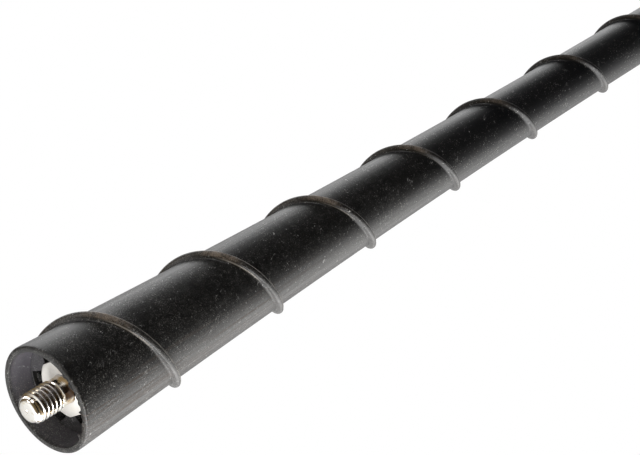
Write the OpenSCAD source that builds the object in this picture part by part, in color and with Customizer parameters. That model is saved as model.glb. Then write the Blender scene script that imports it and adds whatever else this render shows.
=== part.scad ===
// Car mast aerial: a moulded rubber mast with a helical rib, on a nickel-plated M5 stud.
// The origin is the centre of the mouth's rim face, and +Z runs along the mast to its tip.

/* [Mast outline] */
// Length from the rim face to the tip
mast_len = 400; // [260:5:560]
// Outer diameter at the mouth
mouth_d = 18; // [17.2:0.2:24]
// Diameter where the flare ends
slim_d = 10.1; // [9.4:0.1:13]
// Diameter just below the rounded tip
tip_d = 8.6; // [8:0.1:9.4]
// Length of the flared lower part
flare_len = 175; // [80:5:220]
// How strongly the flare curves: 1 is a straight cone
flare_curve = 2.2; // [1.2:0.1:3]
// Round of the rim's outer edge
rim_round = 0.45; // [0.2:0.05:0.6]

/* [Helical rib] */
// Rise of the rib in one turn
rib_pitch = 25.5; // [16:0.5:40]
// Height of the rib at the mouth end
rib_height = 1.15; // [0.6:0.05:1.6]
// Height of the rib at the tip end
rib_height_tip = 0.85; // [0.4:0.05:1.2]
// Width of the rib where it meets the mast
rib_foot = 2.7; // [2.2:0.1:4]
// Width of the rib's crest between its rounded shoulders
rib_crest = 1.1; // [0.6:0.1:1.8]
// Height of the rib's start above the rim face
rib_start = 3.4; // [2.5:0.1:12]
// Angle of the rib's start round the mast
rib_start_angle = 103; // [0:1:360]
// Bare length between the rib's end and the tip
rib_tip_gap = 12; // [9:1:40]

/* [Socket in the mouth] */
// Diameter of the opening at the rim face
socket_d = 15.8; // [15.2:0.1:16.2]
// Diameter of the opening at its floor
socket_floor_d = 15; // [14.7:0.1:15.2]
// Depth of the floor below the rim face
socket_depth = 4.3; // [4.1:0.1:6]
// Depth of the relief pockets in the floor
pocket_depth = 4; // [2:0.5:5]
// Half width of a pocket at the flange
pocket_near_w = 3.7; // [3:0.1:4]
// Half width of a pocket at the outer wall
pocket_far_w = 4.7; // [4.2:0.1:5.2]
// Wall step left outside each pocket
pocket_ledge = 0.2; // [0.1:0.1:0.6]
// Width of the teeth inside a pocket
tooth_w = 1.3; // [0.8:0.1:1.6]
// Width of the slot between a tooth and the pocket's side
tooth_slot = 0.6; // [0.4:0.1:0.8]
// Radial length of a tooth
tooth_len = 0.9; // [0.6:0.1:1.5]
// Angle of the first pocket round the mast
pocket_angle = 94; // [0:1:120]

/* [Stud and ferrule] */
// Thread diameter of the stud
stud_d = 5; // [4:0.5:6]
// How far the stud stands out of the mouth
stud_reach = 3.6; // [2:0.1:8]
// Chamfer of the stud's tip
stud_chamfer = 0.6; // [0.3:0.1:0.9]
// Diameter of the centre mark in the stud's tip
centre_mark_d = 0.9; // [0.5:0.1:1.4]
// Diameter of the flange
flange_d = 10.1; // [9.4:0.1:10.6]
// Distance across the flange's four flats
flange_flats = 9; // [8.6:0.1:9.6]
// Thickness of the flange
flange_t = 1.6; // [1:0.1:2.4]
// How far the flange stands above the socket floor
flange_proud = 0.3; // [0:0.1:0.6]
// Diameter of the ferrule's barrel
barrel_d = 7.6; // [7:0.1:8]
// Length of the barrel
barrel_len = 14.4; // [10:0.2:24]
// Depth of the barrel's two keying grooves
groove_depth = 0.6; // [0.3:0.1:0.8]
// Width of each keying groove
groove_w = 2; // [1:0.2:3]
// Diameter of the crimped nose
nose_d = 5.6; // [5.4:0.1:6]
// Length of the crimped nose
nose_len = 7; // [5:0.5:10]

/* [Core, winding and sleeve] */
// Diameter of the glass-fibre rod
rod_d = 3; // [2.4:0.1:3.2]
// Length of rod held inside the ferrule
rod_hold = 16; // [8:1:18]
// Distance from the rod's upper end to the tip
rod_tip_gap = 14; // [10:1:40]
// Diameter of the wire
wire_d = 0.6; // [0.4:0.05:0.7]
// Pitch of the open turns
open_pitch = 20; // [10:1:30]
// Pitch of the close turns near the tip
close_pitch = 0.9; // [0.8:0.05:2]
// Number of close turns
close_turns = 24; // [10:1:40]
// Bare rod above the last close turn
winding_end_gap = 8; // [4:1:20]
// Wall of the shrunk sleeve
sleeve_wall = 0.4; // [0.3:0.05:0.5]
// Clearance between pieces that fit in each other
fit_gap = 0.05; // [0.02:0.01:0.1]

/* [Hidden] */
$fn = 96;
cut = 1;

// Heights of the pieces inside, from the rim face up
flange_z = socket_depth - flange_proud;
barrel_z = flange_z + flange_t;
nose_z = barrel_z + barrel_len;
ferrule_top = nose_z + nose_len;
rod_z = ferrule_top - rod_hold;
rod_top = mast_len - rod_tip_gap;

// Radius of the mast at a height, before the tip is rounded
tip_r = tip_d / 2;
function mast_r(z) =
    z < flare_len
    ? slim_d / 2 + (mouth_d - slim_d) / 2 * pow(1 - max(z, 0) / flare_len, flare_curve)
    : slim_d / 2 + (tip_d - slim_d) / 2 * (z - flare_len) / (mast_len - tip_r - flare_len);

module mast_body() {
    stations = 14;
    arc_steps = 6;
    rim_r = mast_r(rim_round) - rim_round;
    rim_arc = [for (i = [0:arc_steps]) let (a = 90 * i / arc_steps)
        [rim_r + rim_round * sin(a), rim_round * (1 - cos(a))]];
    flare = [for (i = [1:stations]) let (z = flare_len * i / stations) [mast_r(z), z]];
    tip_arc = [for (i = [0:2 * arc_steps]) let (a = 90 * i / (2 * arc_steps))
        [tip_r * cos(a), mast_len - tip_r + tip_r * sin(a)]];
    rotate_extrude() polygon(concat([[0, 0]], rim_arc, flare, tip_arc));
}

// The rib is one swept solid. Each station holds its section in the plane through the axis,
// sunk into the mast so that its foot meets the surface at a slope.
rib_steps = 24;
rib_sink = 0.35;
rib_ramp = 3;
rib_end = mast_len - rib_tip_gap;
rib_stations = floor((rib_end - rib_start) / rib_pitch * rib_steps);

// Corners of the section: a fillet near the foot and a round at each shoulder of the crest
fillet_x = 0.36 * rib_foot;
fillet_rise = 0.22;
shoulder_lean = 0.12;
shoulder_rise = 0.75;
crest_round = 0.15;
function rib_section(h) = [
    [rib_foot / 2, -rib_sink],
    [fillet_x, fillet_rise * h],
    [rib_crest / 2 + shoulder_lean * h, shoulder_rise * h],
    [rib_crest / 2 - crest_round, h],
    [-rib_crest / 2 + crest_round, h],
    [-rib_crest / 2 - shoulder_lean * h, shoulder_rise * h],
    [-fillet_x, fillet_rise * h],
    [-rib_foot / 2, -rib_sink]
];

module rib() {
    sides = len(rib_section(1));
    points = [for (i = [0:rib_stations])
        let (z = rib_start + rib_pitch * i / rib_steps)
        let (a = rib_start_angle + 360 * i / rib_steps)
        let (full = rib_height + (rib_height_tip - rib_height) * z / mast_len)
        let (rise = min(1, i / rib_ramp, (rib_stations - i) / rib_ramp))
        let (h = rise * full - (1 - rise) * rib_sink / 2)
        for (p = rib_section(h))
            let (r = mast_r(z + p[0]) + p[1])
            [r * cos(a), r * sin(a), z + p[0]]];
    skin = [for (i = [0:rib_stations - 1]) for (j = [0:sides - 1])
        let (k = (j + 1) % sides)
        for (t = [[i * sides + j, (i + 1) * sides + k, i * sides + k],
                  [i * sides + j, (i + 1) * sides + j, (i + 1) * sides + k]]) t];
    first = [for (j = [1:sides - 2]) [0, j, j + 1]];
    last_ring = rib_stations * sides;
    last = [for (j = [1:sides - 2]) [last_ring, last_ring + j + 1, last_ring + j]];
    polyhedron(points, concat(skin, first, last));
}

// Plan of one relief pocket, pointing along +X: it widens outwards and keeps two teeth on
// its outer wall, each a slot away from the pocket's side.
pocket_r = socket_floor_d / 2 - pocket_ledge;
hub_r = flange_flats / 2;
pocket_near_x = sqrt(hub_r * hub_r - pocket_near_w * pocket_near_w);
function pocket_half_w(x) =
    pocket_near_w + (pocket_far_w - pocket_near_w) * (x - pocket_near_x) / (pocket_r - pocket_near_x);

module pocket_plan() {
    tooth_x = sqrt(pow(pocket_r, 2) - pow(pocket_near_w, 2)) - tooth_len;
    tooth_y = pocket_half_w(tooth_x) - tooth_slot;
    difference() {
        intersection() {
            circle(pocket_r);
            polygon([
                [pocket_near_x, -pocket_near_w], [pocket_r, -pocket_far_w],
                [pocket_r, pocket_far_w], [pocket_near_x, pocket_near_w]
            ]);
        }
        circle(hub_r);
        for (side = [-1, 1])
            translate([tooth_x, side > 0 ? tooth_y - tooth_w : -tooth_y])
                square([tooth_len + cut, tooth_w]);
    }
}

module relief_pockets() {
    for (i = [0:2])
        rotate(pocket_angle + 120 * i)
            translate([0, 0, socket_depth - cut])
                linear_extrude(pocket_depth + cut) pocket_plan();
}

// Turned outline of the ferrule behind the flange: barrel with two grooves, then the nose
function ferrule_outline(gap) =
    let (b = barrel_d / 2 + gap, g = barrel_d / 2 - groove_depth + gap, n = nose_d / 2 + gap)
    let (land = (barrel_len - 2 * groove_w) / 3)
    let (z1 = barrel_z + land, z2 = z1 + groove_w, z3 = z2 + land, z4 = z3 + groove_w)
    [[0, barrel_z], [b, barrel_z], [b, z1 + gap], [g, z1 + gap], [g, z2 - gap], [b, z2 - gap],
     [b, z3 + gap], [g, z3 + gap], [g, z4 - gap], [b, z4 - gap],
     [b, nose_z + gap], [n, nose_z + gap], [n, ferrule_top], [0, ferrule_top]];

flat_angle = 8;
module flange_shape(gap) {
    intersection() {
        circle(flange_d / 2 + gap);
        rotate(flat_angle) square(flange_flats + 2 * gap, center = true);
    }
}

// The sleeve is shrunk over the nose and then down onto the winding
wind_steps = 10;
wire_r = wire_d / 2;
wind_r = (rod_d / 2 + wire_r + fit_gap) / cos(180 / wind_steps);
sleeve_r = wind_r + wire_r + fit_gap;
sleeve_nose_r = nose_d / 2 + fit_gap;
sleeve_z = nose_z + 1;
shrink_z = ferrule_top + 0.5;
shrink_len = 2.5;
sleeve_top = rod_top + 1;

function sleeve_outline(wall, gap) = [
    [sleeve_nose_r + wall, sleeve_z - gap], [sleeve_nose_r + wall, shrink_z],
    [sleeve_r + wall, shrink_z + shrink_len], [sleeve_r + wall, sleeve_top + gap]
];

module sleeve_space(gap) {
    rotate_extrude()
        polygon(concat(
            [[0, sleeve_z - gap]],
            sleeve_outline(sleeve_wall + gap, gap),
            [[0, sleeve_top + gap]]
        ));
}

module jacket() {
    color([0.05, 0.05, 0.055])
    difference() {
        union() {
            mast_body();
            rib();
        }
        translate([0, 0, -cut])
            cylinder(
                h = socket_depth + cut,
                d1 = socket_d + (socket_d - socket_floor_d) * cut / socket_depth,
                d2 = socket_floor_d
            );
        relief_pockets();
        translate([0, 0, socket_depth - cut])
            linear_extrude(barrel_z - socket_depth + cut + fit_gap) flange_shape(fit_gap);
        rotate_extrude() polygon(ferrule_outline(fit_gap));
        sleeve_space(fit_gap);
    }
}

module stud_ferrule() {
    tip_z = -stud_reach;
    r = stud_d / 2;
    color([0.78, 0.77, 0.74])
    difference() {
        union() {
            rotate_extrude()
                polygon([
                    [0, tip_z], [r - stud_chamfer, tip_z], [r, tip_z + stud_chamfer],
                    [r, flange_z + cut], [0, flange_z + cut]
                ]);
            translate([0, 0, flange_z]) linear_extrude(flange_t) flange_shape(0);
            rotate_extrude() polygon(ferrule_outline(0));
        }
        translate([0, 0, rod_z])
            cylinder(h = rod_hold + cut, d = rod_d + 2 * fit_gap);
        translate([0, 0, tip_z])
            cylinder(h = centre_mark_d / 3, d1 = centre_mark_d, d2 = 0);
    }
}

module core_rod() {
    color([0.82, 0.80, 0.66])
    translate([0, 0, rod_z]) cylinder(h = rod_top - rod_z, d = rod_d);
}

// One wire: open turns from the ferrule up, then the close turns of the loading coil
wire_z = ferrule_top + fit_gap + wire_r;
close_z = rod_top - winding_end_gap - close_turns * close_pitch;
open_turns = (close_z - wire_z) / open_pitch;
open_count = round(open_turns * wind_steps);
close_count = close_turns * wind_steps;
function wire_height(i) =
    i < open_count
    ? wire_z + (close_z - wire_z) * i / open_count
    : close_z + close_pitch * (i - open_count) / wind_steps;
function wire_point(i) =
    let (a = 360 * i / wind_steps)
    [wind_r * cos(a), wind_r * sin(a), wire_height(i)];

module winding() {
    sides = 6;
    count = open_count + close_count;
    points = [for (i = [0:count])
        let (d = wire_point(min(i + 1, count)) - wire_point(max(i - 1, 0)))
        let (t = d / norm(d), a = 360 * i / wind_steps)
        let (n = [cos(a), sin(a), 0], b = cross(t, n))
        for (j = [0:sides - 1])
            wire_point(i) + wire_r * (cos(360 * j / sides) * n + sin(360 * j / sides) * b)];
    skin = [for (i = [0:count - 1]) for (j = [0:sides - 1])
        let (k = (j + 1) % sides)
        for (f = [[i * sides + j, (i + 1) * sides + k, i * sides + k],
                  [i * sides + j, (i + 1) * sides + j, (i + 1) * sides + k]]) f];
    first = [for (j = [1:sides - 2]) [0, j, j + 1]];
    last_ring = count * sides;
    last = [for (j = [1:sides - 2]) [last_ring, last_ring + j + 1, last_ring + j]];
    color([0.72, 0.38, 0.18]) polyhedron(points, concat(skin, first, last));
}

module winding_sleeve() {
    color([0.10, 0.10, 0.11])
    rotate_extrude()
        polygon(concat(
            sleeve_outline(sleeve_wall, 0),
            [for (i = [3:-1:0]) sleeve_outline(0, 0)[i]]
        ));
}

jacket();
stud_ferrule();
core_rod();
winding();
winding_sleeve();
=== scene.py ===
import math

import bmesh
import bpy
from mathutils import Matrix, Vector


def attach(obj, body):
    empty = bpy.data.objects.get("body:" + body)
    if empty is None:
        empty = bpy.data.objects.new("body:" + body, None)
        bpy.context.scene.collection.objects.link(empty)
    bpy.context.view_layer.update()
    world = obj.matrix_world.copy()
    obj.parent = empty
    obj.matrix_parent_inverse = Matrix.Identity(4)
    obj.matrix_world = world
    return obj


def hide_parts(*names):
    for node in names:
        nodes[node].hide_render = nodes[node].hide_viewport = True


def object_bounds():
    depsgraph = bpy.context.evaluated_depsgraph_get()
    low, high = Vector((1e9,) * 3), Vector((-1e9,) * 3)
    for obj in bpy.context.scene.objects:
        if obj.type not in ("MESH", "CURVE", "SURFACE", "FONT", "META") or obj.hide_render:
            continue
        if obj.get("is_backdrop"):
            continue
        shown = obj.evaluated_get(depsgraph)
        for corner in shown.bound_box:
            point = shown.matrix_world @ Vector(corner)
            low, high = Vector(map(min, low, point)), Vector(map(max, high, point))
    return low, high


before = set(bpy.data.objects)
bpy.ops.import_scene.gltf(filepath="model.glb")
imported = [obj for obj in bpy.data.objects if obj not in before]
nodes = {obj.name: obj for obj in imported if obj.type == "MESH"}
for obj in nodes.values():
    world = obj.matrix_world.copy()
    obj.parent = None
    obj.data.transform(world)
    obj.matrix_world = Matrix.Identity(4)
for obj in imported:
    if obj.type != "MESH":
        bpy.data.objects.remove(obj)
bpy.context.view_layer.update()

# Camera. It stands about 0.28 m from the mouth, in front of it and below it, and looks
# up along the mast, which runs out of the picture at the upper right.
camera_place = Vector((-0.00014, -0.241772, -0.150601))
camera_aim = Vector((-0.000636, 0.0, 0.064628))
camera_roll = math.radians(58.57)
camera_lens, camera_sensor = 106.325, 36.0
camera_near, camera_far = 0.01, 50.0

lens = bpy.data.cameras.new("camera")
lens.lens, lens.sensor_width = camera_lens, camera_sensor
lens.clip_start, lens.clip_end = camera_near, camera_far
camera = bpy.data.objects.new("camera", lens)
bpy.context.scene.collection.objects.link(camera)
level_look = (camera_aim - camera_place).to_track_quat("-Z", "Y").to_matrix()
camera.location = camera_place
camera.rotation_euler = (level_look @ Matrix.Rotation(camera_roll, 3, "Z")).to_euler()
bpy.context.scene.camera = camera
bpy.context.scene.view_settings.view_transform = "Standard"

# Studio. Tall soft boxes stand behind the mast, left and right, so that its sides shine
# and its front stays black, and small ones light the mouth from below. The room is dim
# on the camera's side, and a pale floor lies under the stud.
white = (1, 1, 1, 1)
dim_side = Vector((-0.375, -0.927, 0.0))
dim_from, dim_full = -0.10, 0.40
room_back, room_front = (0.36, 0.36, 0.36, 1), (0.05, 0.05, 0.05, 1)
mirror_back, mirror_front = (0.62, 0.62, 0.62, 1), (0.016, 0.015, 0.014, 1)


class Wire:
    """A node's socket. Arithmetic on it adds Math nodes, and add() makes any other node."""

    def __init__(self, tree, socket=None):
        self.tree, self.socket = tree, socket

    def add(self, kind, settings=None, inputs=None, output=0):
        node = self.tree.nodes.new(kind)
        for name, value in (settings or {}).items():
            setattr(node, name, value)
        for name, value in (inputs or {}).items():
            if isinstance(value, Wire):
                self.tree.links.new(value.socket, node.inputs[name])
            else:
                node.inputs[name].default_value = value
        return Wire(self.tree, node.outputs[output])

    def math(self, operation, first, second=0.0):
        return self.add("ShaderNodeMath", {"operation": operation}, {0: first, 1: second})

    def __add__(self, other):
        return self.math("ADD", self, other)

    def __sub__(self, other):
        return self.math("SUBTRACT", self, other)

    def __mul__(self, other):
        return self.math("MULTIPLY", self, other)

    def __truediv__(self, other):
        return self.math("DIVIDE", self, other)

    def __pow__(self, other):
        return self.math("POWER", self, other)

    def __rsub__(self, other):
        return self.math("SUBTRACT", other, self)

    __radd__ = __add__


def step_between(value, low, high):
    """0 below low, 1 above high, and a smooth change between."""
    return value.add(
        "ShaderNodeMapRange",
        {"interpolation_type": "SMOOTHSTEP"},
        {"Value": value, "From Min": low, "From Max": high, "To Min": 0.0, "To Max": 1.0},
    )


def fall_between(value, low, high):
    """1 below low, 0 above high, and a smooth change between."""
    return 1 - step_between(value, low, high)


def blend(first, second, share):
    """A colour between two, by a share that varies over the surface."""
    inputs = {"Factor": share, 6: first, 7: second}
    return share.add("ShaderNodeMix", {"data_type": "RGBA"}, inputs, output=2)


def axes(vector):
    """The X, Y and Z of a vector, each as a wire."""
    node = vector.add("ShaderNodeSeparateXYZ", None, {0: vector}).socket.node
    return [Wire(vector.tree, output) for output in node.outputs]


def feed(shader, name, wire):
    wire.tree.links.new(wire.socket, shader.inputs[name])


def new_finish(name):
    """A material, the wire that its nodes are made with, and its shader."""
    material = bpy.data.materials.new(name)
    material.use_nodes = True
    return material, Wire(material.node_tree), material.node_tree.nodes["Principled BSDF"]


def dress(piece, material):
    piece.data.materials.clear()
    piece.data.materials.append(material)


def nothing_selected():
    if bpy.context.object and bpy.context.object.mode != "OBJECT":
        bpy.ops.object.mode_set(mode="OBJECT")
    bpy.ops.object.select_all(action="DESELECT")


world = bpy.data.worlds.new("studio")
bpy.context.scene.world = world
world.use_nodes = True
world.node_tree.nodes.clear()
air = Wire(world.node_tree)
direction = air.add("ShaderNodeTexCoord", output="Generated")
turned_front = air.add(
    "ShaderNodeVectorMath",
    {"operation": "DOT_PRODUCT"},
    {0: direction, 1: dim_side},
    output="Value",
)
in_front = step_between(turned_front, dim_from, dim_full)
room = blend(room_back, room_front, in_front)
mirror_light = blend(mirror_back, mirror_front, in_front)
is_glossy = air.add("ShaderNodeLightPath", output="Is Glossy Ray")
is_camera = air.add("ShaderNodeLightPath", output="Is Camera Ray")
seen = blend(blend(room, mirror_light, is_glossy), white, is_camera)
sky = air.add("ShaderNodeBackground", None, {"Color": seen, "Strength": 1.0})
world_end = world.node_tree.nodes.new("ShaderNodeOutputWorld")
feed(world_end, "Surface", sky)

mast_middle, mast_foot, mouth_middle = (0, 0, 0.2), (0, 0, 0.03), (0, 0, 0)
neutral, warm = (1.0, 1.0, 1.0), (1.0, 0.985, 0.96)


def soft_box(name, place, aim, size, watts, colour=neutral, in_mirrors=True):
    lamp = bpy.data.lights.new(name, "AREA")
    lamp.shape = "RECTANGLE"
    lamp.size, lamp.size_y = size
    lamp.energy = watts
    lamp.color = colour
    holder = bpy.data.objects.new(name, lamp)
    holder.location = place
    holder.rotation_euler = (Vector(aim) - Vector(place)).to_track_quat("-Z", "Y").to_euler()
    holder.visible_camera = False
    holder.visible_glossy = in_mirrors
    bpy.context.scene.collection.objects.link(holder)


soft_box("box_right", (0.645, 0.07, 0.28), mast_middle, (0.86, 1.06), 7.0, warm)
soft_box("box_left", (-0.56, 0.30, 0.45), mast_middle, (0.45, 1.1), 3.2)
soft_box("box_above", (-0.56, -0.52, -0.06), mast_foot, (0.30, 0.30), 1.3)
soft_box("box_top", (0.0, 0.25, 1.30), mast_middle, (0.60, 0.60), 3.6)
soft_box("box_mouth", (0.20, 0.05, -0.26), mouth_middle, (0.14, 0.14), 1.2)
soft_box("box_mouth_left", (-0.20, 0.00, -0.24), mouth_middle, (0.10, 0.10), 0.2)
soft_box("box_low_right", (0.694, 0.253, -0.12), mast_foot, (0.65, 0.28), 2.8)
soft_box("box_low_left", (-0.70, -0.06, 0.01), mast_foot, (0.30, 0.22), 0.4)
soft_box("box_under", (0.0, 0.30, -0.27), mouth_middle, (0.27, 0.27), 1.0, in_mirrors=False)

floor_size, floor_rows, floor_height = 24.0, 8, -0.30
floor_low_pale, floor_high_pale = (0.86, 0.86, 0.85, 1), (0.90, 0.90, 0.89, 1)
floor_plain = (0.30, 0.29, 0.28, 1)
floor_mirror_front, floor_mirror_back = (0.15, 0.105, 0.045, 1), (0.88, 0.88, 0.87, 1)
floor_glow_colour, floor_glow_mirrored = (0.52, 0.52, 0.515, 1), 0.35
black = (0, 0, 0, 1)

nothing_selected()
bpy.ops.mesh.primitive_grid_add(
    x_subdivisions=floor_rows, y_subdivisions=floor_rows, size=floor_size, location=(0, 0, floor_height)
)
floor = bpy.context.active_object
floor.name = "floor"
floor_paint, coat, floor_end = new_finish("floor_paint")
floor_mottle = coat.add("ShaderNodeTexNoise", None, {"Scale": 3.0, "Detail": 4.0})
floor_seen = coat.add("ShaderNodeLightPath", output="Is Camera Ray")
floor_mirrored = coat.add("ShaderNodeLightPath", output="Is Glossy Ray")
floor_x, floor_y = axes(coat.add("ShaderNodeTexCoord", output="Object"))[:2]
behind = step_between(floor_y, -0.10, 0.06) * step_between(floor_x, -0.30, 0.0)
floor_pale = blend(floor_low_pale, floor_high_pale, floor_mottle)
floor_in_mirrors = blend(floor_mirror_front, floor_mirror_back, behind)
floor_shade = blend(blend(floor_plain, floor_in_mirrors, floor_mirrored), floor_pale, floor_seen)
floor_glow = coat.math("MAXIMUM", floor_seen, floor_mirrored * behind * floor_glow_mirrored)
floor_end.inputs["Roughness"].default_value = 0.7
floor_end.inputs["Emission Strength"].default_value = 1.0
feed(floor_end, "Base Color", floor_shade)
feed(floor_end, "Emission Color", blend(black, floor_glow_colour, floor_glow))
# The floor is open to the eye from below, so that the mouth can be looked at from there too
floor_under = coat.add("ShaderNodeNewGeometry", output="Backfacing")
floor_clear = coat.add("ShaderNodeBsdfTransparent")
floor_solid = Wire(coat.tree, floor_end.outputs[0])
floor_mix = coat.add("ShaderNodeMixShader", None, {0: floor_under, 1: floor_solid, 2: floor_clear})
feed(floor_paint.node_tree.nodes["Material Output"], "Surface", floor_mix)
dress(floor, floor_paint)
floor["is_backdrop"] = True

# Rubber mast. One moulding of black rubber round the rod, with a rib that climbs it as a
# right-handed helix and has a parting groove beside its crest. The mouth is a socket with
# a flat rim, a ragged lip of flash and three relief pockets with a pair of teeth each.
MM = 0.001
mast_len = 400.0
mouth_d, slim_d, tip_d = 17.94, 10.1, 8.6
flare_len, flare_curve = 175.0, 2.2
rim_round = 0.45
tip_r = tip_d / 2
rib_pitch, rib_start, rib_start_angle = 25.5, 3.4, 103.0
rib_end = mast_len - 12.0
rib_low_h, rib_high_h = 1.10, 0.70
rib_half_low, rib_half_high, rib_settles = 0.78, 0.66, 130.0
rib_lean, rib_ramp, rib_reach = 0.22, 0.125, 1.6
bead_flat, bead_round = 2.4, 0.6
fillet_h, fillet_below, fillet_above, fillet_overlap = 0.20, 0.42, 0.26, 0.03
parting_off, parting_half, parting_depth = 0.36, 0.10, 0.11
parting_full, parting_gone = 25.0, 110.0
weld_gap, level_gap = 0.001, 0.01


def mast_radius(z):
    if z < flare_len:
        rest = 1 - max(z, 0.0) / flare_len
        return slim_d / 2 + (mouth_d - slim_d) / 2 * rest ** flare_curve
    share = (z - flare_len) / (mast_len - tip_r - flare_len)
    return slim_d / 2 + (tip_d - slim_d) / 2 * share


def ease(t):
    t = min(1.0, max(0.0, t))
    return t * t * (3 - 2 * t)


def rib_rise(angle, z):
    """Height of the rib over the mast in mm, its share of the full height, and the place across it."""
    turns = (angle - rib_start_angle) / 360.0
    count = round((z - rib_start) / rib_pitch - turns)
    centre = rib_start + rib_pitch * (turns + count)
    settled = ease(centre / rib_settles)
    off = z - centre - rib_lean * (1 - settled)
    since_start = (centre - rib_start) / rib_pitch
    to_end = (rib_end - centre) / rib_pitch
    ends = ease(since_start / rib_ramp) * ease(to_end / rib_ramp)
    half = rib_half_low + (rib_half_high - rib_half_low) * settled
    full = rib_low_h + (rib_high_h - rib_low_h) * centre / mast_len
    bead = full * (1 - min(1.0, abs(off) / half) ** bead_flat) ** bead_round
    fades = ease((centre - parting_full) / (parting_gone - parting_full))
    groove = parting_depth * (1 - fades) * max(0.0, 1 - abs(off - parting_off) / parting_half)
    fillet_w = fillet_below if off < 0 else fillet_above
    past = max(0.0, abs(off) - half + fillet_overlap)
    fillet = fillet_h * max(0.0, 1 - past / fillet_w) ** 2 if past > 0 else 0.0
    height = max(bead - groove, fillet) * ends
    return height, height / full, max(-rib_reach, min(rib_reach, off))


def set_radius(v, radius):
    """Moves a vertex level, to a radius in mm from the mast's middle line."""
    flat = Vector((v.co.x, v.co.y)).normalized() * radius * MM
    v.co.x, v.co.y = flat.x, flat.y


def helical_blank(name, pitch, rows, steps, turns, low):
    """A tube of radius 1 mm whose rows of faces climb as a helix: one pitch of profile, screwed."""
    nothing_selected()
    bpy.ops.mesh.primitive_plane_add(size=1 * MM, location=(0, 0, 0))
    blank = bpy.context.active_object
    blank.name = name
    bpy.ops.object.mode_set(mode="EDIT")
    mesh = bmesh.from_edit_mesh(blank.data)
    mesh.verts.ensure_lookup_table()
    bmesh.ops.delete(mesh, geom=mesh.verts[1:], context="VERTS")
    mesh.verts.ensure_lookup_table()
    mesh.verts[0].co = (1 * MM, 0, (low + rows[0]) * MM)
    mesh.verts[0].select = True
    bmesh.update_edit_mesh(blank.data)
    bpy.ops.mesh.select_mode(type="VERT")
    bpy.ops.mesh.select_all(action="SELECT")
    for below, above in zip(rows, rows[1:]):
        climb = (above - below) * MM
        bpy.ops.mesh.extrude_region_move(TRANSFORM_OT_translate={"value": (0, 0, climb)})
    bpy.ops.object.mode_set(mode="OBJECT")
    screw = blank.modifiers.new("screw", "SCREW")
    screw.axis = "Z"
    screw.angle = 2 * math.pi
    screw.screw_offset = pitch * MM
    screw.iterations = turns
    screw.steps = screw.render_steps = steps
    screw.use_merge_vertices = False
    bpy.ops.object.modifier_apply(modifier=screw.name)
    bpy.ops.object.mode_set(mode="EDIT")
    bpy.ops.mesh.select_all(action="SELECT")
    bpy.ops.mesh.remove_doubles(threshold=weld_gap * MM)
    bpy.ops.object.mode_set(mode="OBJECT")
    return blank


def cut_level(piece, z, keep_above):
    """Cuts the open tube level at a height and leaves the new edge loop selected."""
    bpy.ops.object.mode_set(mode="EDIT")
    bpy.ops.mesh.select_mode(type="VERT")
    bpy.ops.mesh.select_all(action="SELECT")
    bpy.ops.mesh.bisect(
        plane_co=(0, 0, z * MM),
        plane_no=(0, 0, 1),
        clear_inner=keep_above,
        clear_outer=not keep_above,
        threshold=weld_gap / 10 * MM,
    )
    bpy.ops.mesh.select_all(action="DESELECT")
    mesh = bmesh.from_edit_mesh(piece.data)
    for edge in mesh.edges:
        level = all(abs(v.co.z / MM - z) < level_gap for v in edge.verts)
        if level and edge.is_boundary:
            edge.select_set(True)
    bmesh.update_edit_mesh(piece.data)


def pull_rings(piece, rings):
    """Extrudes the selected edge loop through rings of (radius, height), and closes the last."""
    for radius, z in rings:
        bpy.ops.mesh.extrude_region_move()
        mesh = bmesh.from_edit_mesh(piece.data)
        for v in mesh.verts:
            if v.select:
                set_radius(v, radius)
                v.co.z = z * MM
        bmesh.update_edit_mesh(piece.data)
    bpy.ops.mesh.merge(type="CENTER")
    bpy.ops.mesh.select_all(action="DESELECT")
    bpy.ops.object.mode_set(mode="OBJECT")


# The screwed blank: rows of faces close together on the rib, wide apart in the valley
rib_side = [
    1.3, 1.14, 1.03, 0.95, 0.89, 0.84, 0.81, 0.77, 0.72,
    0.66, 0.58, 0.50, 0.46, 0.41, 0.36, 0.31, 0.26, 0.14,
]
valley_rows = 10
mast_steps, mast_turns = 96, 18
valley = rib_pitch - 2 * rib_side[0]
rib_profile = [-d for d in rib_side] + [0.0] + rib_side[::-1]
valley_profile = [rib_side[0] + valley * i / valley_rows for i in range(1, valley_rows + 1)]
blank_low = rib_start - rib_pitch * (1 + rib_start_angle / 360.0)
rubber = helical_blank(
    "rubber_mast", rib_pitch, rib_profile + valley_profile, mast_steps, mast_turns, blank_low
)
for v in rubber.data.vertices:
    z = v.co.z / MM
    angle = math.degrees(math.atan2(v.co.y, v.co.x))
    set_radius(v, mast_radius(min(z, mast_len)) + rib_rise(angle, z)[0])

# The socket and the bore behind it, which holds the ferrule, the rod and the sleeve
socket_d, socket_floor_d, socket_depth = 15.8, 15.0, 4.3
fit_gap = 0.05
flange_proud, flange_t = 0.3, 1.6
barrel_r, groove_r, nose_r = 3.8, 3.2, 2.8
barrel_len, groove_w, nose_len, nose_bare = 14.4, 2.0, 7.0, 1.0
rod_r, rod_hold, rod_tip_gap = 1.5, 16.0, 14.0
wire_r, wind_steps, sleeve_wall = 0.3, 10, 0.4
sleeve_room, sleeve_over = 0.5, 1.0
sleeve_shrinks, sleeve_shrunk = 0.5, 3.0
flange_z = socket_depth - flange_proud
barrel_z = flange_z + flange_t
nose_z = barrel_z + barrel_len
ferrule_top = nose_z + nose_len
rod_z, rod_top = ferrule_top - rod_hold, mast_len - rod_tip_gap
land = (barrel_len - 2 * groove_w) / 3
grooves = [
    (barrel_z + land, barrel_z + land + groove_w),
    (nose_z - land - groove_w, nose_z - land),
]
wind_r = (rod_r + wire_r + fit_gap) / math.cos(math.pi / wind_steps)
sleeve_r = wind_r + wire_r + fit_gap + sleeve_wall


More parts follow.
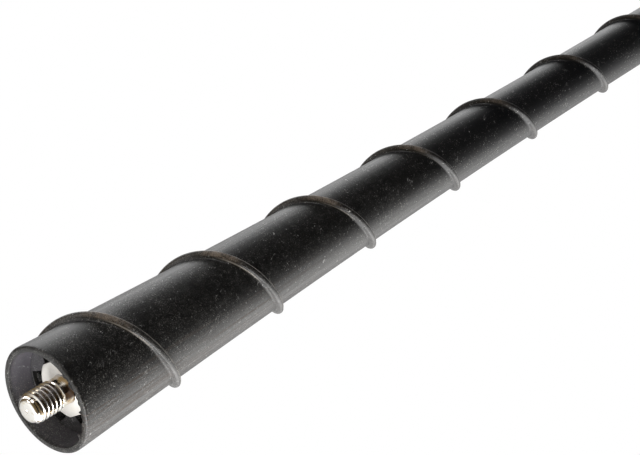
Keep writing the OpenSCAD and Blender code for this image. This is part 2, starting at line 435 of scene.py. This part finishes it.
def barrel_rings(gap):
    """Rings of (radius, height) along the barrel's keying grooves and up to the nose."""
    wide, narrow = barrel_r + gap, groove_r + gap
    rings = []
    for low, high in grooves:
        rings += [(wide, low + gap), (narrow, low + gap), (narrow, high - gap), (wide, high - gap)]
    return rings + [(wide, nose_z + gap), (nose_r + gap, nose_z + gap)]


rim_rings = []
for a in range(18, 91, 18):
    inward = rim_round * (1 - math.cos(math.radians(a)))
    drop = rim_round * (1 - math.sin(math.radians(a)))
    rim_rings.append((mast_radius(rim_round) - inward, drop))
socket_rings = [
    (socket_d / 2 + 0.12, 0.0),
    (socket_d / 2 + 0.03, 0.04),
    (socket_d / 2 - 0.01, 0.14),
    (socket_d / 2 - 0.19, socket_depth / 2),
    (socket_floor_d / 2 + 0.06, socket_depth - 0.35),
    (socket_floor_d / 2 - 0.06, socket_depth - 0.06),
    (socket_floor_d / 2 - 0.30, socket_depth),
]
bore_end = rod_top + sleeve_over + fit_gap
sleeve_rings = [
    (nose_r + fit_gap, nose_z + nose_bare - fit_gap),
    (nose_r + sleeve_room, nose_z + nose_bare - fit_gap),
    (nose_r + sleeve_room, ferrule_top + sleeve_shrinks),
    (sleeve_r + fit_gap, ferrule_top + sleeve_shrunk),
    (sleeve_r + fit_gap, bore_end),
    (sleeve_r / 2, bore_end),
]
bore_rings = [(barrel_r + fit_gap, socket_depth)] + barrel_rings(fit_gap) + sleeve_rings
cut_level(rubber, rim_round, True)
pull_rings(rubber, rim_rings + socket_rings + bore_rings)

# Flash: the moulding's parting ring leaves a ragged lip on the near side of the mouth
flash_from, flash_to, flash_reach = -1.95, -0.25, 0.75
flash_fine, flash_coarse, flash_shift = 53.0, 21.0, 0.7
lip_height, lip_width = 0.06, 0.2
for v in rubber.data.vertices:
    r, angle = math.hypot(v.co.x, v.co.y) / MM, math.atan2(v.co.y, v.co.x)
    if v.co.z < lip_height * MM and r < socket_d / 2 + lip_width and flash_from < angle < flash_to:
        tears = max(0.0, math.sin(angle * flash_fine) * math.sin(angle * flash_coarse + flash_shift))
        v.co.x *= 1 - flash_reach * tears / r
        v.co.y *= 1 - flash_reach * tears / r

# The rounded tip
cut_level(rubber, mast_len - tip_r, False)
dome_rings = []
for a in range(8, 89, 8):
    up = tip_r * math.sin(math.radians(a))
    dome_rings.append((tip_r * math.cos(math.radians(a)), mast_len - tip_r + up))
pull_rings(rubber, dome_rings)

# Relief pockets in the socket's floor, which widen outwards and keep two teeth each
pocket_count, pocket_angle, pocket_depth, over_cut = 3, 94.0, 4.0, 1.0
hub_r, pocket_r = 4.5, 7.3
near_w, far_w = 3.7, 4.7
tooth_w, tooth_slot, tooth_len, tooth_sunk, tooth_lap = 1.3, 0.6, 0.7, 0.7, 0.2
near_x = math.sqrt(hub_r ** 2 - near_w ** 2)


def arc(radius, start, end, count):
    angles = [start + (end - start) * i / count for i in range(count + 1)]
    return [(radius * math.cos(a), radius * math.sin(a)) for a in angles]


def subtract(piece, cutter):
    nothing_selected()
    bpy.context.view_layer.objects.active = piece
    piece.select_set(True)
    cut = piece.modifiers.new("cut", "BOOLEAN")
    cut.operation = "DIFFERENCE"
    cut.solver = "EXACT"
    cut.object = cutter
    bpy.ops.object.modifier_apply(modifier=cut.name)
    bpy.data.objects.remove(cutter)


def prism(name, outline, low, high):
    """A solid block over a plan of points, with its heights, all in mm."""
    nothing_selected()
    count = len(outline)
    bpy.ops.mesh.primitive_circle_add(vertices=count, radius=MM, fill_type="NGON", location=(0, 0, 0))
    block = bpy.context.active_object
    block.name = name
    for v, (x, y) in zip(block.data.vertices, outline):
        v.co = (x * MM, y * MM, low * MM)
    bpy.ops.object.mode_set(mode="EDIT")
    bpy.ops.mesh.select_all(action="SELECT")
    bpy.ops.mesh.extrude_region_move(TRANSFORM_OT_translate={"value": (0, 0, (high - low) * MM)})
    bpy.ops.mesh.select_all(action="SELECT")
    bpy.ops.mesh.normals_make_consistent(inside=False)
    bpy.ops.object.mode_set(mode="OBJECT")
    return block


def pocket_half(x):
    return near_w + (far_w - near_w) * (x - near_x) / (pocket_r - near_x)


# The pocket's side meets the outer wall at wall_x, worked out from a place close to it
near_wall_x = 5.75
tooth_x = math.sqrt(pocket_r ** 2 - near_w ** 2) - tooth_len
tooth_y = pocket_half(tooth_x) - tooth_slot
wall_x = math.sqrt(pocket_r ** 2 - pocket_half(near_wall_x) ** 2)
wall_y = pocket_half(wall_x)
hub_a = math.atan2(near_w, near_x)
wall_a = math.asin(wall_y / pocket_r) - 0.02
tooth_out_a = math.asin(tooth_y / pocket_r)
tooth_in_a = math.asin((tooth_y - tooth_w) / pocket_r)
hub_arc = arc(hub_r, -hub_a, hub_a, 10)
upper_side = [(wall_x, wall_y)] + arc(pocket_r, wall_a, tooth_out_a, 2)
lower_side = arc(pocket_r, -tooth_out_a, -wall_a, 2) + [(wall_x, -wall_y)]
middle_arc = arc(pocket_r, tooth_in_a, -tooth_in_a, 6)
upper_tooth = [(tooth_x, tooth_y), (tooth_x, tooth_y - tooth_w)]
lower_tooth = [(tooth_x, -tooth_y + tooth_w), (tooth_x, -tooth_y)]
open_plan = hub_arc + upper_side + middle_arc + lower_side
toothed_plan = hub_arc + upper_side + upper_tooth + middle_arc + lower_tooth + lower_side
pocket_cuts = [
    (open_plan, -over_cut, tooth_sunk),
    (toothed_plan, tooth_sunk - tooth_lap, pocket_depth),
]
for pocket in range(pocket_count):
    turn = math.radians(pocket_angle + 360.0 / pocket_count * pocket)
    for plan, low, high in pocket_cuts:
        cutter = prism("pocket_cutter", plan, socket_depth + low, socket_depth + high)
        cutter.data.transform(Matrix.Rotation(turn, 4, "Z"))
        subtract(rubber, cutter)

# The recess that holds the ferrule's flange: a circle with four flats
flange_d, flange_flats, flat_count, flat_angle = 10.1, 9.0, 4, math.radians(8.0)
flange_gap = 0.16
recess_r, recess_half = flange_d / 2 + flange_gap, flange_flats / 2 + flange_gap
flat_reach = math.acos(recess_half / recess_r)
recess_plan = []
for flat_number in range(flat_count):
    middle = flat_angle + flat_number * 2 * math.pi / flat_count
    following = middle + 2 * math.pi / flat_count
    recess_plan += arc(recess_r, middle + flat_reach, following - flat_reach, 6)
recess_cutter = prism("flange_cutter", recess_plan, socket_depth - over_cut, barrel_z + fit_gap)
subtract(rubber, recess_cutter)


def finish_mesh(piece, sharp_angle):
    nothing_selected()
    bpy.context.view_layer.objects.active = piece
    piece.select_set(True)
    bpy.ops.object.mode_set(mode="EDIT")
    bpy.ops.mesh.select_all(action="SELECT")
    bpy.ops.mesh.remove_doubles(threshold=weld_gap / 2 * MM)
    bpy.ops.mesh.normals_make_consistent(inside=False)
    bpy.ops.object.mode_set(mode="OBJECT")
    bpy.ops.object.shade_smooth_by_angle(angle=math.radians(sharp_angle))


# Two attributes tell the finish how far up the rib a point lies, and where across it
rubber_sharp, outer_wall = 38, 0.3
finish_mesh(rubber, rubber_sharp)
shares, places = [], []
for v in rubber.data.vertices:
    z = v.co.z / MM
    outside = math.hypot(v.co.x, v.co.y) / MM > mast_radius(z) - outer_wall
    share, across = rib_rise(math.degrees(math.atan2(v.co.y, v.co.x)), z)[1:]
    shares.append(share if outside else 0.0)
    places.append(across)
for name, values in (("rib_rise", shares), ("rib_across", places)):
    rubber.data.attributes.new(name, "FLOAT", "POINT").data.foreach_set("value", values)

black_skin, grey_skin = (0.001, 0.001, 0.0012, 1), (0.080, 0.078, 0.076, 1)
warm_skin, upper_painted_shade = (0.024, 0.020, 0.015, 1), (0.0025, 0.0028, 0.0045, 1)
brown_wear_and_light, shoulder_highlight = (0.26, 0.205, 0.155, 1), (0.16, 0.15, 0.13, 1)
foot_highlight, groove_edge_highlight = (0.62, 0.56, 0.48, 1), (0.46, 0.42, 0.37, 1)
slope_highlight, socket_painted_light = (0.135, 0.132, 0.130, 1), (0.125, 0.118, 0.138, 1)
lip_shadow_black, brown_stain = (0.002, 0.002, 0.002, 1), (0.085, 0.062, 0.048, 1)
pale_powder, pale_dust = (0.30, 0.29, 0.27, 1), (0.74, 0.74, 0.72, 1)


def noise(at, scale, detail=3.0, rough=0.5, warp=0.0):
    inputs = {"Vector": at, "Scale": scale, "Detail": detail, "Roughness": rough, "Distortion": warp}
    return at.add("ShaderNodeTexNoise", None, inputs)


def scaled(vector, factor):
    return vector.add("ShaderNodeVectorMath", {"operation": "SCALE"}, {0: vector, "Scale": factor})


def band(value, low, low_full, high_full, high):
    """0 outside low and high, 1 between the two full values, and smooth changes between."""
    return step_between(value, low, low_full) * fall_between(value, high_full, high)


def line(value, place, half, blur):
    """1 within half of a place, 0 farther off than blur."""
    return fall_between(value.math("ABSOLUTE", value - place), half, blur)


def grains(at, scale, radius, share):
    """Separate round grains: a share of the cells of a fine pattern holds one each."""
    cells = {"Vector": at, "Scale": scale, "Randomness": 1.0}
    away = at.add("ShaderNodeTexVoronoi", None, cells, output="Distance")
    colour = at.add("ShaderNodeTexVoronoi", None, cells, output="Color")
    lot = at.add("ShaderNodeSeparateColor", None, {0: colour})
    girth = at.add("ShaderNodeSeparateColor", None, {0: colour}, output=1) + 0.35
    return fall_between(away / girth, radius * 0.3, radius) * step_between(lot, 0.98 - share, 1 - share)


# Places on the mast: mm along and off its middle line, and radians round it
rubber_finish, ink, rubber_shader = new_finish("moulded_rubber")
in_mm = scaled(ink.add("ShaderNodeTexCoord", output="Object"), 1 / MM)
x_mm, y_mm, z_mm = axes(in_mm)
around = ink.math("ARCTAN2", y_mm, x_mm)
off_axis = (x_mm * x_mm + y_mm * y_mm) ** 0.5
to_right = x_mm / off_axis
crest = ink.add("ShaderNodeAttribute", {"attribute_name": "rib_rise"}, output="Fac")
across = ink.add("ShaderNodeAttribute", {"attribute_name": "rib_across"}, output="Fac")

# The skin: cloudy patches some millimetres wide, under a grain of about 0.2 mm
cloud = noise(in_mm, 0.16, 4.0, 0.6)
mottle = noise(in_mm, 0.9, 5.0, 0.65)
grain = noise(in_mm, 4.8, 2.0, 0.8)
tint = noise(in_mm, 2.1, 2.0)
skin = blend(black_skin, grey_skin, step_between(mottle * 0.30 + grain * 0.70, 0.46, 0.72))
warmed = blend(skin, warm_skin, step_between(tint, 0.54, 0.74) * 0.5)
# Further up the mast the skin is painted nearly black, as painted shade
upper = blend(warmed, upper_painted_shade, step_between(z_mm, 70.0, 116.0) * 0.95)

# Rubbed rib: brown patches on the left of the crest, which fade up the mast; they are partly wear and partly
# painted light, paler where light falls on that side
leftward = step_between(to_right, -0.20, -0.55) * (1 - step_between(to_right, -0.72, -0.93) * 0.85)
worn_and_lit = step_between(crest, 0.30, 0.60) * fall_between(across, 0.40, 0.60) * leftward
patchy = step_between(mottle * 0.5 + grain * 0.5, 0.42, 0.56)
crest_fade_up = 1 - step_between(z_mm, 45.0, 130.0) * 0.65
rubbed_and_lit = blend(upper, brown_wear_and_light, worn_and_lit * (patchy * 0.65 + 0.2) * crest_fade_up)

# Painted highlights: a pale line along the rib's foot on its left half, a broken line on the crest's
# upper shoulder, and two lines along the edges of the parting groove, all fading up the mast
highlight_fade_up = 1 - step_between(z_mm, 30.0, 110.0) * 0.8
shoulder = step_between(crest, 0.3, 0.5)
foot_highlight_line = line(across, -0.71, 0.015, 0.06) * band(around, -2.4, -2.0, -1.60, -1.25)
foot_lit = blend(rubbed_and_lit, foot_highlight, foot_highlight_line * step_between(crest, 0.1, 0.3) * highlight_fade_up * 0.5)
shoulder_highlight_share = band(across, 0.18, 0.26, 0.44, 0.52) * step_between(mottle, 0.42, 0.56)
shoulder_lit = blend(foot_lit, shoulder_highlight, shoulder_highlight_share * shoulder * highlight_fade_up * 0.8)
beside = line(ink.math("ABSOLUTE", across - 0.35), 0.15, 0.02, 0.07)
ragged = step_between(mottle * 0.4 + grain * 0.6, 0.36, 0.52)
groove_edges_lit = blend(shoulder_lit, groove_edge_highlight, beside * shoulder * ragged * highlight_fade_up * 0.8)

# A painted highlight, mottled, on the rib's lower slope where it turns away at the right
right_end = band(around, -1.15, -0.65, 0.5, 0.9)
low_slope = band(across, -1.0, -0.8, -0.3, 0.1) * step_between(crest, 0.05, 0.2)
slope_lit = blend(groove_edges_lit, slope_highlight, right_end * low_slope * (mottle * 0.4 + 0.45))

# The socket: its wall is smoother than the outside and is painted paler, as painted light with some mottle:
# most on its left side, where light falls in, and least at the ledge by its floor
socket = fall_between(off_axis, 7.80, 7.92) * fall_between(z_mm, socket_depth, socket_depth + 0.08)
ledge = step_between(z_mm, socket_depth - 0.40, socket_depth - 0.10)
lit_side = step_between(to_right, 0.0, -0.85)
socket_light_share = (mottle * 0.4 + 0.15 + lit_side * 0.4) * (1 - ledge * 0.65)
socket_lightened = blend(slope_lit, socket_painted_light, socket * socket_light_share)

# The torn lip of flash is painted black as painted shade, and is dull
near_side = band(around, flash_from, flash_from + 0.15, flash_to - 0.15, flash_to)
lip_edge = off_axis + (grain - 0.5) * 0.8 + (mottle - 0.5) * 0.8
lip_ring = fall_between(lip_edge, 8.12, 8.22) * step_between(off_axis, 6.4, 6.6)
lip = lip_ring * fall_between(z_mm, 0.10, 0.25) * near_side
lip_shaded = blend(socket_lightened, lip_shadow_black, lip * 0.9)

# Drawn streaks run along the mast, and stain the underside of the lowest turns brown
drawn = ink.add("ShaderNodeCombineXYZ", None, {0: around * 9.0, 1: z_mm * 0.012, 2: 0.0})
streak = noise(drawn, 2.6, 3.0, 0.6)
under = band(around, -1.35, -1.05, -0.45, -0.20) * fall_between(z_mm, 24.0, 70.0)
stain = step_between(streak, 0.52, 0.60) * under * (1 - crest)
stained = blend(lip_shaded, brown_stain, stain * 0.6)

# Dust: few coarse grains and many fine ones of uneven shape, thickest where the cloud is thin
shoved = ink.add("ShaderNodeTexNoise", None, {"Vector": in_mm, "Scale": 3.0, "Detail": 2.0}, output="Color")
flecked = ink.add("ShaderNodeVectorMath", {"operation": "ADD"}, {0: in_mm, 1: scaled(shoved, 0.5)})
dust = ink.math("MAXIMUM", grains(flecked, 1.0, 0.11, 0.16), grains(flecked, 2.1, 0.17, 0.34) * 0.7)
thick = step_between(cloud, 0.36, 0.56)
low_powder = grains(in_mm, 5.2, 0.50, 0.60) * thick * fall_between(z_mm, 14.0, 50.0) * 0.6
powder = grains(flecked, 3.6, 0.36, 0.48) * thick + low_powder

# Lint and short scratches: thin slanting threads, broken up by a coarse noise
slant_around = around * 14.0 + z_mm * 1.5
slant = ink.add("ShaderNodeCombineXYZ", None, {0: slant_around, 1: z_mm * 0.30, 2: around * 2.0})
scratch = line(noise(slant, 1.0, 1.0, 0.5, 0.5), 0.5, 0.004, 0.016)
lint = scratch * step_between(noise(in_mm, 0.75, 2.0), 0.62, 0.68)
specks = ink.math("MAXIMUM", dust, lint * 0.55)

powdered = blend(stained, pale_powder, powder * 0.7)
feed(rubber_shader, "Base Color", blend(powdered, pale_dust, specks * 0.85))
satin = mottle * 0.10 + grain * 0.10 + (streak - 0.5) * 0.30 + 0.33
dulled = satin + specks * 0.2 + stain * 0.22 + worn_and_lit * 0.08 + lip * 0.6
feed(rubber_shader, "Roughness", dulled - socket * 0.08 + socket * ledge * 0.35)
relief = grain * 0.012 + mottle * 0.010 + streak * 0.020 + powder * 0.006 + specks * 0.04
rubber_bump = {"Strength": 0.6, "Distance": MM, "Height": relief}
feed(rubber_shader, "Normal", ink.add("ShaderNodeBump", None, rubber_bump))
dress(rubber, rubber_finish)
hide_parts("jacket")
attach(rubber, "root")

# Stud and ferrule. Turned brass with bright nickel plate: an M5 rolled thread, a plain
# neck, a flange with four flats, and a grooved barrel moulded into the mast.
stud_tip = -3.6
thread_pitch, thread_r, root_r, thread_top = 0.8, 2.5, 2.02, 2.0
thread_flat, thread_flank, thread_runout = 0.84, 0.66, 0.5
neck_r, neck_round = 2.3, 0.25
chamfer_h, chamfer_in_r, chamfer_bulge = 0.62, 1.45, 0.68
chamfer_slope = 0.9
flange_r, flange_edge = flange_d / 2, 0.12


def thread_radius(angle, z):
    """Radius of the stud at a place: the thread, its run-out into the neck and the rounded tip."""
    phase = z / thread_pitch - angle / 360.0
    from_root = abs(phase - math.floor(phase) - 0.5) * 2
    flank = min(1.0, max(0.0, (thread_flat - from_root) / thread_flank))
    ridge = 0.5 * flank + 0.5 * ease(flank)
    body = root_r + (thread_r - root_r) * ridge
    body = neck_r + (body - neck_r) * ease((thread_top - z) / thread_runout)
    up = z - stud_tip
    if up < chamfer_h:
        nose = chamfer_in_r + chamfer_bulge * math.sqrt(max(0.0, 1 - (1 - up / chamfer_h) ** 2))
    else:
        nose = chamfer_in_r + chamfer_bulge + (up - chamfer_h) * chamfer_slope
    return min(body, nose)


tip_face_r, tip_cut = 1.42, 0.02
thread_steps, thread_rows, thread_turns = 64, 10, 10
thread_profile = [thread_pitch * i / thread_rows for i in range(thread_rows + 1)]
stud = helical_blank(
    "stud_and_ferrule", thread_pitch, thread_profile, thread_steps, thread_turns, stud_tip - 2 * thread_pitch
)
for v in stud.data.vertices:
    angle = math.degrees(math.atan2(v.co.y, v.co.x))
    set_radius(v, thread_radius(angle, max(v.co.z / MM, stud_tip)))
cut_level(stud, stud_tip + tip_cut, True)
centre_mark = [(0.26, stud_tip), (0.18, stud_tip + 0.08), (0.08, stud_tip + 0.26)]
pull_rings(stud, [(tip_face_r, stud_tip)] + centre_mark)
cut_level(stud, thread_top, False)
flange_rings = [
    (neck_r, flange_z - neck_round),
    (neck_r + 0.05, flange_z - 0.10),
    (neck_r + 0.18, flange_z),
    (flange_r - 0.5, flange_z),
    (flange_r - flange_edge, flange_z),
    (flange_r - flange_edge * 0.3, flange_z + flange_edge * 0.3),
    (flange_r, flange_z + flange_edge),
    (flange_r, barrel_z - flange_edge),
    (flange_r - flange_edge, barrel_z),
    (barrel_r, barrel_z),
]
rod_hole_rings = [
    (nose_r, ferrule_top),
    (rod_r + fit_gap, ferrule_top),
    (rod_r + fit_gap, rod_z),
    (0.6, rod_z),
]
pull_rings(stud, flange_rings + barrel_rings(0.0) + rod_hole_rings)
half = flange_flats / 2
chip_depth, chip_half = 2.0, 3.0
chip_plan = [
    (half, -chip_half),
    (half + chip_depth, -chip_half),
    (half + chip_depth, chip_half),
    (half, chip_half),
]
for flat_number in range(flat_count):
    chip = prism("flat_cutter", chip_plan, flange_z - 0.5, barrel_z + 0.02)
    turn = flat_angle + flat_number * 2 * math.pi / flat_count
    chip.data.transform(Matrix.Rotation(turn, 4, "Z"))
    subtract(stud, chip)
stud_sharp = 40
finish_mesh(stud, stud_sharp)

cold_nickel, warm_reflection_nickel = (0.88, 0.86, 0.82, 1), (0.66, 0.58, 0.44, 1)
root_shade_brown, neck_reflection_brown = (0.42, 0.27, 0.09, 1), (0.055, 0.026, 0.014, 1)
turning_marks = (0.3, 0.3, 14.0)

nickel_finish, plate, nickel_shader = new_finish("bright_nickel")
spot = scaled(plate.add("ShaderNodeTexCoord", output="Object"), 1 / MM)
spot_x, spot_y, spot_z = axes(spot)
spot_r = (spot_x * spot_x + spot_y * spot_y) ** 0.5
spot_around = plate.math("ARCTAN2", spot_y, spot_x)
haze = noise(spot, 1.1, 5.0)
turned_place = plate.add("ShaderNodeVectorMath", {"operation": "MULTIPLY"}, {0: spot, 1: turning_marks})
turned = noise(turned_place, 1.0)
# The flange keeps the dull face of the turned blank, and the thread is rolled bright
dull = step_between(spot_z, flange_z - 0.12, flange_z - 0.02)
bright = 1 - dull
# The roots of the thread and the neck are painted brown as painted shade and dark reflection, and the plate
# has warm patches that are a painted brown reflection
past_tip = step_between(spot_z, stud_tip + 0.5, stud_tip + 0.8)
root_shade = fall_between(spot_r, root_r + 0.05, root_r + 0.34) * past_tip
neck = step_between(spot_z, thread_top, thread_top + 0.3)
brown_shade_share = plate.math("MAXIMUM", root_shade, neck) * bright * step_between(haze, 0.30, 0.62)
warm_reflection_share = step_between(haze, 0.50, 0.78) * (1 - dull * 0.8)
nickel_shaded = blend(blend(cold_nickel, warm_reflection_nickel, warm_reflection_share), root_shade_brown, brown_shade_share * 0.85)
# A dark brown reflection is painted on the near side of the neck
neck_painted_reflection = neck * bright * band(spot_around, -1.85, -1.60, -0.85, -0.55)
feed(nickel_shader, "Base Color", blend(nickel_shaded, neck_reflection_brown, neck_painted_reflection * 0.92))
feed(nickel_shader, "Metallic", 1 - dull * 0.55)
feed(nickel_shader, "Roughness", 0.06 + haze * 0.08 + turned * 0.05 + dull * 0.30)
plate_bump = {"Strength": 0.4, "Distance": MM, "Height": turned * 0.006 + haze * 0.01}
feed(nickel_shader, "Normal", plate.add("ShaderNodeBump", None, plate_bump))
dress(stud, nickel_finish)
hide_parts("stud_ferrule")
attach(stud, "root")

# Core rod. A straight rod of glass fibre in polyester resin, held in the ferrule. It is
# moulded over and never shows, so its solid keeps its place and mesh.
resin_dark, resin_pale = (0.62, 0.60, 0.42, 1), (0.80, 0.79, 0.66, 1)
fibre_run = (4000, 4000, 60)

rod_finish, glass, rod_shader = new_finish("glass_fibre")
fibre_at = glass.add("ShaderNodeTexCoord", output="Object")
fibre_place = glass.add("ShaderNodeVectorMath", {"operation": "MULTIPLY"}, {0: fibre_at, 1: fibre_run})
fibre = noise(fibre_place, 1.0, 4.0)
feed(rod_shader, "Base Color", blend(resin_dark, resin_pale, step_between(fibre, 0.35, 0.65)))
feed(rod_shader, "Roughness", 0.28 + fibre * 0.2)
rod_bump = {"Strength": 0.4, "Distance": MM, "Height": fibre * 0.02}
feed(rod_shader, "Normal", glass.add("ShaderNodeBump", None, rod_bump))
dress(nodes["core_rod"], rod_finish)

# Winding. Enamelled copper wire, wound on the rod with open turns and then a close
# loading coil near the tip. It lies under the sleeve.
copper_dark, copper_pale = (0.42, 0.13, 0.035, 1), (0.62, 0.24, 0.08, 1)

wire_finish, copper, wire_shader = new_finish("enamelled_copper")
wire_noise = noise(copper.add("ShaderNodeTexCoord", output="Object"), 900.0, 4.0)
feed(wire_shader, "Base Color", blend(copper_dark, copper_pale, step_between(wire_noise, 0.35, 0.65)))
wire_shader.inputs["Metallic"].default_value = 1.0
wire_shader.inputs["Coat Weight"].default_value = 0.6
feed(wire_shader, "Roughness", 0.22 + wire_noise * 0.15)
dress(nodes["winding"], wire_finish)

# Sleeve. Black heat-shrink tube over the winding and the ferrule's nose, which keeps the
# rubber out of the turns while the mast is moulded.
tube_black, tube_grey = (0.020, 0.020, 0.022, 1), (0.034, 0.034, 0.035, 1)

sleeve_finish, tube, sleeve_shader = new_finish("shrink_tube")
tube_noise = noise(tube.add("ShaderNodeTexCoord", output="Object"), 700.0, 5.0)
feed(sleeve_shader, "Base Color", blend(tube_black, tube_grey, step_between(tube_noise, 0.3, 0.7)))
feed(sleeve_shader, "Roughness", 0.5 + tube_noise * 0.2)
sleeve_bump = {"Strength": 0.3, "Distance": MM, "Height": tube_noise * 0.03}
feed(sleeve_shader, "Normal", tube.add("ShaderNodeBump", None, sleeve_bump))
dress(nodes["winding_sleeve"], sleeve_finish)

# The bounds of the dressed part, without the floor
low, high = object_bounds()
